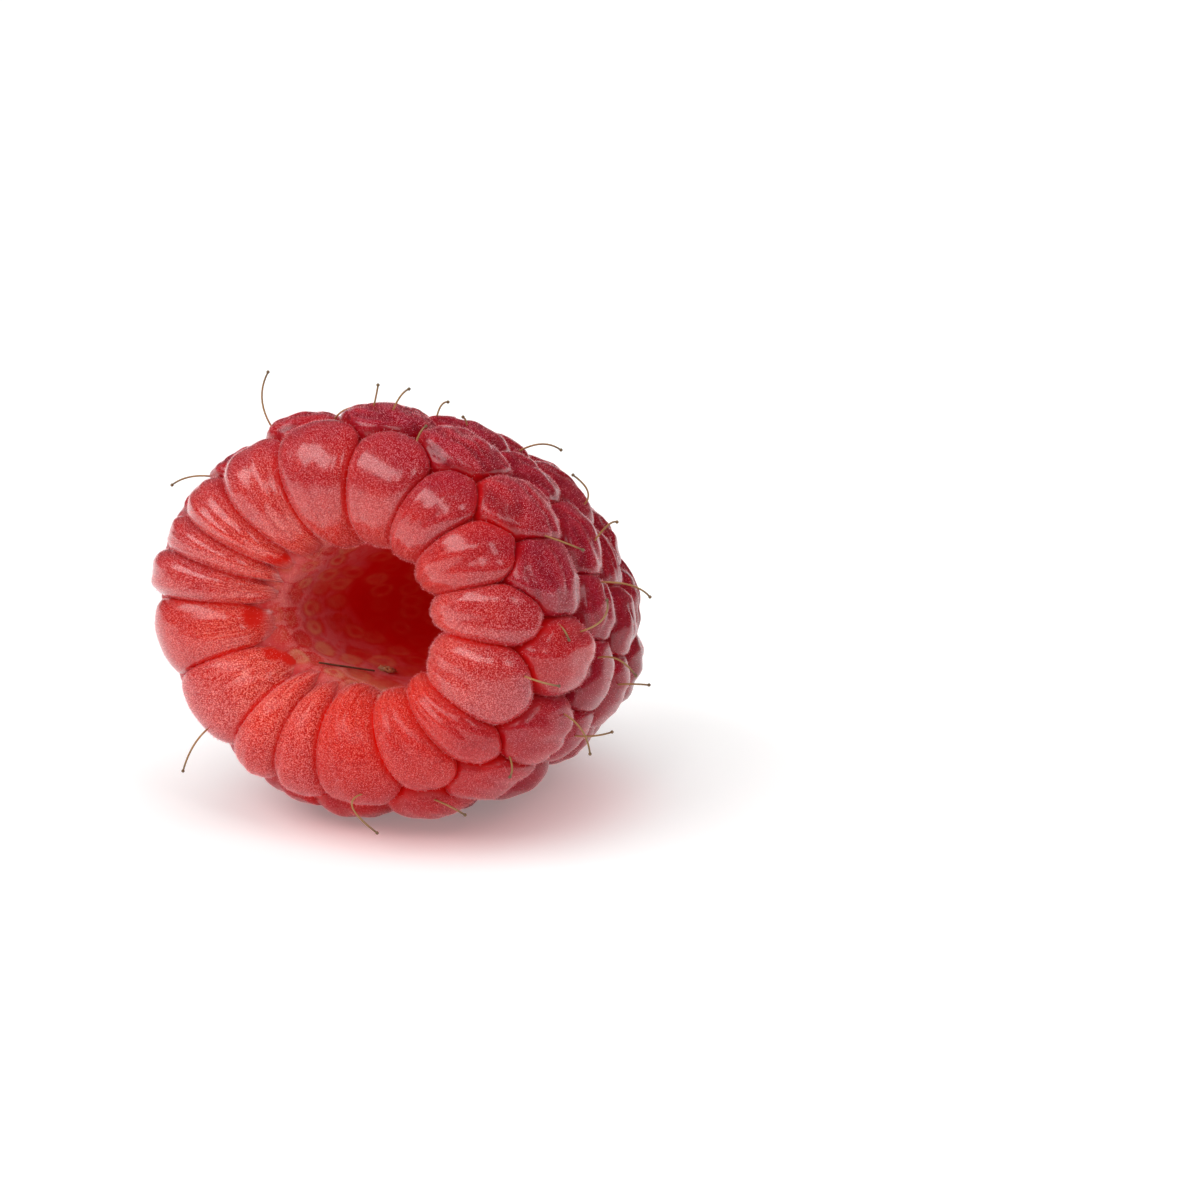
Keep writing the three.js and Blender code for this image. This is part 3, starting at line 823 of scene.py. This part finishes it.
class Tree:
    """A Geometry Nodes tree with named inputs, run once on a piece and then made plain."""

    def __init__(self, name, numbers, whole_numbers=()):
        self.tree = bpy.data.node_groups.new(name, "GeometryNodeTree")
        self.tree.interface.new_socket("Geometry", in_out="INPUT", socket_type="NodeSocketGeometry")
        self.identifiers = {}
        for key in (*numbers, *whole_numbers):
            kind = "NodeSocketFloat" if key in numbers else "NodeSocketInt"
            made = self.tree.interface.new_socket(key, in_out="INPUT", socket_type=kind)
            self.identifiers[key] = made.identifier
        self.tree.interface.new_socket("Geometry", in_out="OUTPUT", socket_type="NodeSocketGeometry")
        self.given = self.tree.nodes.new("NodeGroupInput").outputs

    def node(self, kind, inputs=(), output=0, **settings):
        made = self.tree.nodes.new(kind)
        for key, value in settings.items():
            setattr(made, key, value)
        for key, value in dict(inputs).items():
            if isinstance(value, bpy.types.NodeSocket):
                self.tree.links.new(value, made.inputs[key])
            else:
                made.inputs[key].default_value = value
        return made.outputs[output]

    def store(self, name, geometry, value):
        inputs = {"Geometry": geometry, "Name": name, "Value": value}
        return self.node("GeometryNodeStoreNamedAttribute", inputs, data_type="FLOAT", domain="POINT")

    def tube(self, curve, sides, radius):
        ring = self.node("GeometryNodeCurvePrimitiveCircle", {"Resolution": sides, "Radius": radius})
        inputs = {"Curve": curve, "Profile Curve": ring, "Fill Caps": True}
        return self.node("GeometryNodeCurveToMesh", inputs)

    def run(self, piece, result, material, name, **values):
        """Ends the tree, runs it on the piece and gives the result as a plain mesh object."""
        whole = self.node("GeometryNodeRealizeInstances", {0: result})
        coloured = self.node("GeometryNodeSetMaterial", {"Geometry": whole, "Material": material})
        self.tree.links.new(coloured, self.tree.nodes.new("NodeGroupOutput").inputs[0])
        modifier = piece.modifiers.new("made", "NODES")
        modifier.node_group = self.tree
        for key, value in values.items():
            modifier[self.identifiers[key]] = value
        evaluated = piece.evaluated_get(bpy.context.evaluated_depsgraph_get())
        mesh = bpy.data.meshes.new_from_object(evaluated)
        piece.modifiers.remove(modifier)
        mesh.name = name
        made = bpy.data.objects.new(name, mesh)
        bpy.context.scene.collection.objects.link(made)
        return made


growing = Tree("style_growth", ["Thickness", "Knob"])
curve = growing.node("GeometryNodeMeshToCurve", {"Mesh": growing.given["Geometry"]})
part_way = growing.node("GeometryNodeSplineParameter")
curve = growing.store("along", curve, part_way)
thinning = growing.node("ShaderNodeMapRange", {"Value": part_way, "To Min": 1.35, "To Max": 0.75})
curve = growing.node("GeometryNodeSetCurveRadius", {"Curve": curve, "Radius": thinning})
tubes = growing.tube(curve, 5, growing.given["Thickness"])
tips = growing.node("GeometryNodeCurveEndpointSelection", {"Start Size": 0, "End Size": 1})
knob = growing.node("GeometryNodeMeshIcoSphere", {"Radius": growing.given["Knob"], "Subdivisions": 2})
knob = growing.store("along", knob, 1.0)
knobs = growing.node("GeometryNodeInstanceOnPoints", {"Points": curve, "Selection": tips,
                                                      "Instance": knob})
joined = growing.tree.nodes.new("GeometryNodeJoinGeometry")
growing.tree.links.new(tubes, joined.inputs[0])
growing.tree.links.new(knobs, joined.inputs[0])
styles_piece = growing.run(styles, joined.outputs[0], dried.material, "dried_styles",
                           Thickness=STYLE_THICK, Knob=STYLE_KNOB)
bpy.data.objects.remove(styles)
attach(styles_piece, "root")


# ----------------------------------------------------------------------
# A stray dry thread lies across the lower lip of the mouth, against a scrap of torn skin that
# was left behind by the plug.
THREAD_FROM, THREAD_TO, THREAD_THICK = (319, 666), (374, 674), 0.00005
THREAD_RAISED = 0.06
SCRAP_AT, SCRAP_LONG, SCRAP_WIDE, SCRAP_FLESH = (387, 671), 0.90, 0.60, 0.22
SCRAP_RAISED, SCRAP_CURL = 0.07, 0.14

ends = [place + normal * THREAD_RAISED for place, normal in (on_skin(THREAD_FROM), on_skin(THREAD_TO))]
straight = [ends[0].lerp(ends[1], step / (STYLE_POINTS - 1)) for step in range(STYLE_POINTS)]
under = [surface.find_nearest(point) for point in straight]
clearance = min((point - place).dot(normal) for point, (place, normal, *_) in zip(straight, under))
lift = Vector((0, 0, max(0, THREAD_RAISED - clearance)))
strand = mesh_object("thread", [(point + lift) / 1000 for point in straight], [],
                     edges=[(i, i + 1) for i in range(STYLE_POINTS - 1)])
dark_dry = Finish("dark_dry_thread")
fibres = dark_dry.speckle(4000, 2, 0.6)
dry_brown = dark_dry.mix(fibres, (0.05, 0.022, 0.010), (0.16, 0.09, 0.04))
dark_dry.set(Base_Color=dry_brown, Roughness=0.5 + 0.2 * fibres)

pulling = Tree("thread_growth", ["Thickness"])
curve = pulling.node("GeometryNodeMeshToCurve", {"Mesh": pulling.given["Geometry"]})
tube = pulling.tube(curve, 6, pulling.given["Thickness"])
thread_piece = pulling.run(strand, tube, dark_dry.material, "stray_thread", Thickness=THREAD_THICK)
bpy.data.objects.remove(strand)

place, normal = on_skin(SCRAP_AT)
along_scrap = (ends[1] - ends[0]).normalized()
across_scrap = normal.cross(along_scrap).normalized()
directions, scrap_faces = ball(20, 14)
scrap_points = []
for q in directions:
    lump = 1 + 0.7 * noise.noise(Vector(q) * 2.6)
    flat = along_scrap * (q[0] * SCRAP_LONG / 2 * lump) + across_scrap * (q[1] * SCRAP_WIDE / 2 * lump)
    curl = SCRAP_CURL * noise.noise(Vector((q[0] * 2.5, q[1] * 2, 3.0)))
    rise = SCRAP_RAISED + q[2] * SCRAP_FLESH / 2 * lump + curl
    scrap_points.append((place + normal * rise + flat) / 1000)
scrap_piece = mesh_object("torn_scrap", scrap_points, scrap_faces)
scrap_skin = Finish("torn_skin")
stain = scrap_skin.speckle(3200, 3, 0.6)
stained = scrap_skin.mix(stain, (0.42, 0.11, 0.07), (0.45, 0.26, 0.11))
scrap_skin.set(Base_Color=stained, Roughness=0.4 + 0.2 * stain, Subsurface_Weight=0.4,
               Subsurface_Scale=0.0004, Subsurface_Radius=(1.0, 0.5, 0.2))
scrap_piece.data.materials.append(scrap_skin.material)
for piece in (thread_piece, scrap_piece):
    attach(piece, "root")


# ----------------------------------------------------------------------
# The down. The skin of every drupelet carries very short, soft, pale hairs, which make the bloom
# of the berry: about a tenth of a millimetre long, and thinner than a style's tenth part.
DOWN_PER_SQUARE_METRE, DOWN_LONG, DOWN_THICK, DOWN_SPREAD = 5.5e7, 0.00011, 0.0000045, 0.6
DOWN_SIZES, DOWN_SEED = (0.6, 1.3), 3    # by chance, in shares of the length

down_finish = Finish("down")
down_tone = down_finish.speckle(3000, 1, 0.5)
hair_colour = down_finish.mix(down_tone, (0.72, 0.36, 0.38), (0.90, 0.66, 0.66))
# The hairs carry a painted red glow, standing in for light passing through them, so they never go dark in
# shade.
down_finish.set(Base_Color=hair_colour, Roughness=0.5, Specular_IOR_Level=0.3,
                Emission_Color=(0.34, 0.035, 0.045, 1), Emission_Strength=1.0)

for seed, (piece, name) in enumerate(((rim_piece, "rim_down"), (wall_piece, "wall_down")), DOWN_SEED):
    growth = Tree(name + "_growth", ["Density", "Length", "Thickness", "Spread"], ["Seed"])
    given = growth.given
    where = growth.node("GeometryNodeInputNamedAttribute", {"Name": "down"}, data_type="FLOAT")
    density = growth.node("ShaderNodeMath", {0: where, 1: given["Density"]}, operation="MULTIPLY")
    spots = growth.node("GeometryNodeDistributePointsOnFaces",
                        {"Mesh": given["Geometry"], "Density": density, "Seed": given["Seed"]})
    hair = growth.node("GeometryNodeMeshCone",
                       {"Vertices": 3, "Radius Top": 0.0, "Radius Bottom": given["Thickness"],
                        "Depth": given["Length"]}, fill_type="NONE")
    leaning = growth.node("FunctionNodeRandomValue",
                          {0: (-1, -1, -3), 1: (1, 1, 3), "Seed": given["Seed"]},
                          data_type="FLOAT_VECTOR")
    leaning = growth.node("ShaderNodeVectorMath", {0: leaning, "Scale": given["Spread"]},
                          operation="SCALE")
    turned_by = growth.node("FunctionNodeRotateRotation",
                            {"Rotation": spots.node.outputs["Rotation"], "Rotate By": leaning},
                            rotation_space="LOCAL")
    size = growth.node("FunctionNodeRandomValue",
                       {2: DOWN_SIZES[0], 3: DOWN_SIZES[1], "Seed": given["Seed"]}, 1, data_type="FLOAT")
    hairs = growth.node("GeometryNodeInstanceOnPoints",
                        {"Points": spots, "Instance": hair, "Rotation": turned_by, "Scale": size})
    down_piece = growth.run(piece, hairs, down_finish.material, name, Density=DOWN_PER_SQUARE_METRE,
                            Length=DOWN_LONG, Thickness=DOWN_THICK, Spread=DOWN_SPREAD, Seed=seed)
    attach(down_piece, "root")


# ----------------------------------------------------------------------
# The surface that the berry lies on, with painted red bounce light close to the berry, and soft
# light from above and both sides.
FLOOR_HALF = 2.0
# Painted bounce light: the floor is tinted red close to the berry, where its red light would fall.
RED_BOUNCE_AT, RED_BOUNCE_SPREAD, RED_BOUNCE_FULL = (0.0018, -0.0022, 0), 0.0130, 0.004
PAPER, RED_BOUNCE = (0.87, 0.865, 0.86), (1.0, 0.64, 0.64)
WORLD_STRENGTH, LIGHT_DISTANCE = 0.53, 0.45
LIGHTS = [("wide_softbox", -38, 44, (0.48, 0.20), 1.00),   # degrees round and up, size and watts
          ("narrow_softbox", 12, 42, (0.07, 0.18), 0.15),
          ("side_softbox", 58, 40, (0.09, 0.16), 0.15),
          ("overhead", 160, 72, (0.70, 0.70), 1.45)]

corners = np.array([[-1, -1, 0], [1, -1, 0], [1, 1, 0], [-1, 1, 0]]) * FLOOR_HALF
floor = mesh_object("floor", corners, [(0, 1, 2, 3)])
paper = Finish("paper")
spot = paper.node("ShaderNodeTexCoord", output=3)
near = paper.node("ShaderNodeVectorMath", {0: spot, 1: RED_BOUNCE_AT}, output=1, operation="DISTANCE")
near = paper.node("ShaderNodeMapRange", {0: near, 1: RED_BOUNCE_SPREAD, 2: RED_BOUNCE_FULL},
                  interpolation_type="SMOOTHSTEP")
paper.set(Base_Color=paper.mix(near, PAPER, RED_BOUNCE), Roughness=0.6, Specular_IOR_Level=0.2,
          Emission_Color=(1, 1, 1, 1), Emission_Strength=0.19)
floor.data.materials.append(paper.material)

world = bpy.data.worlds.new("studio")
world.use_nodes = True
background = world.node_tree.nodes["Background"].inputs
background["Color"].default_value = (1, 1, 1, 1)
background["Strength"].default_value = WORLD_STRENGTH
bpy.context.scene.world = world
world.cycles_visibility.glossy = False
bpy.context.scene.view_settings.view_transform = "Standard"
for name, turn, rise, size, power in LIGHTS:
    lamp = bpy.data.lights.new(name, "AREA")
    lamp.shape, lamp.size, lamp.size_y, lamp.energy = "RECTANGLE", size[0], size[1], power
    light = bpy.data.objects.new(name, lamp)
    turn, rise = math.radians(turn), math.radians(rise)
    towards = Vector((math.sin(turn) * math.cos(rise), -math.cos(turn) * math.cos(rise), math.sin(rise)))
    light.location = middle + towards * LIGHT_DISTANCE
    light.rotation_mode = "QUATERNION"
    light.rotation_quaternion = towards.to_track_quat("Z", "Y")
    light.visible_glossy = name != "overhead"
    bpy.context.scene.collection.objects.link(light)
